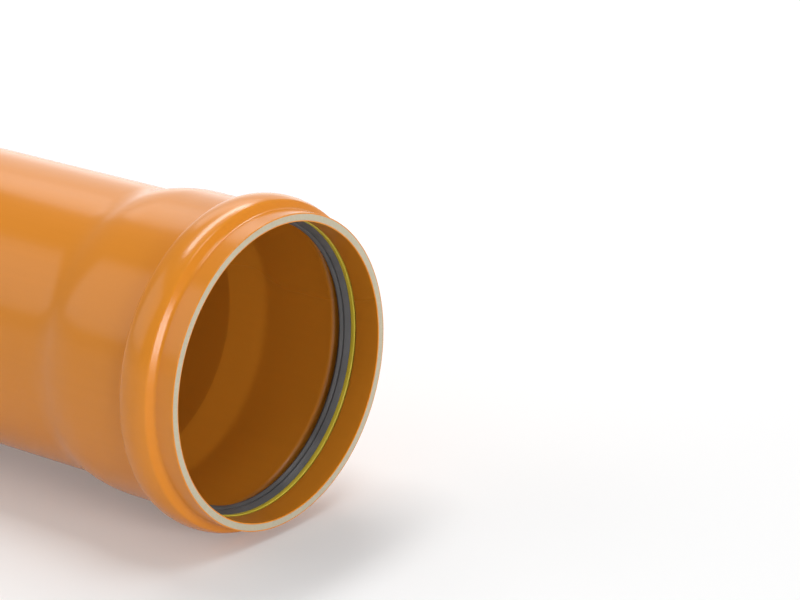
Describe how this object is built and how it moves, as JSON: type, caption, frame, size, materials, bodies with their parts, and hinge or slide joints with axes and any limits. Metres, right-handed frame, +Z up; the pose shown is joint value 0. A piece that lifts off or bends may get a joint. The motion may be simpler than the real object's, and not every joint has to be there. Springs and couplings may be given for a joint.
{
  "type": "pvc sewer pipe",
  "caption": "Orange plastic sewer pipe with a chamfered spigot at one end and a formed push-fit socket with a lip seal and its retaining ring at the other.",
  "frame": {"origin": "on the floor, under the middle of the pipe's length and below its axis", "axes": "+X along the pipe's axis, out of the socket's mouth; +Z up"},
  "size_m": [1.079, 0.1842, 0.1843],
  "materials": {
    "pipe_wall": "orange rigid PVC, satin gloss, with a grey-beige core that shows on the cut ends",
    "seal_rubber": "black moulded rubber, matt",
    "ring_plastic": "yellow moulded polypropylene, satin"
  },
  "bodies": {
    "root": {"pipe": "pipe_wall", "seal_ring": "seal_rubber", "retaining_ring": "ring_plastic"}
  },
  "joints": []
}
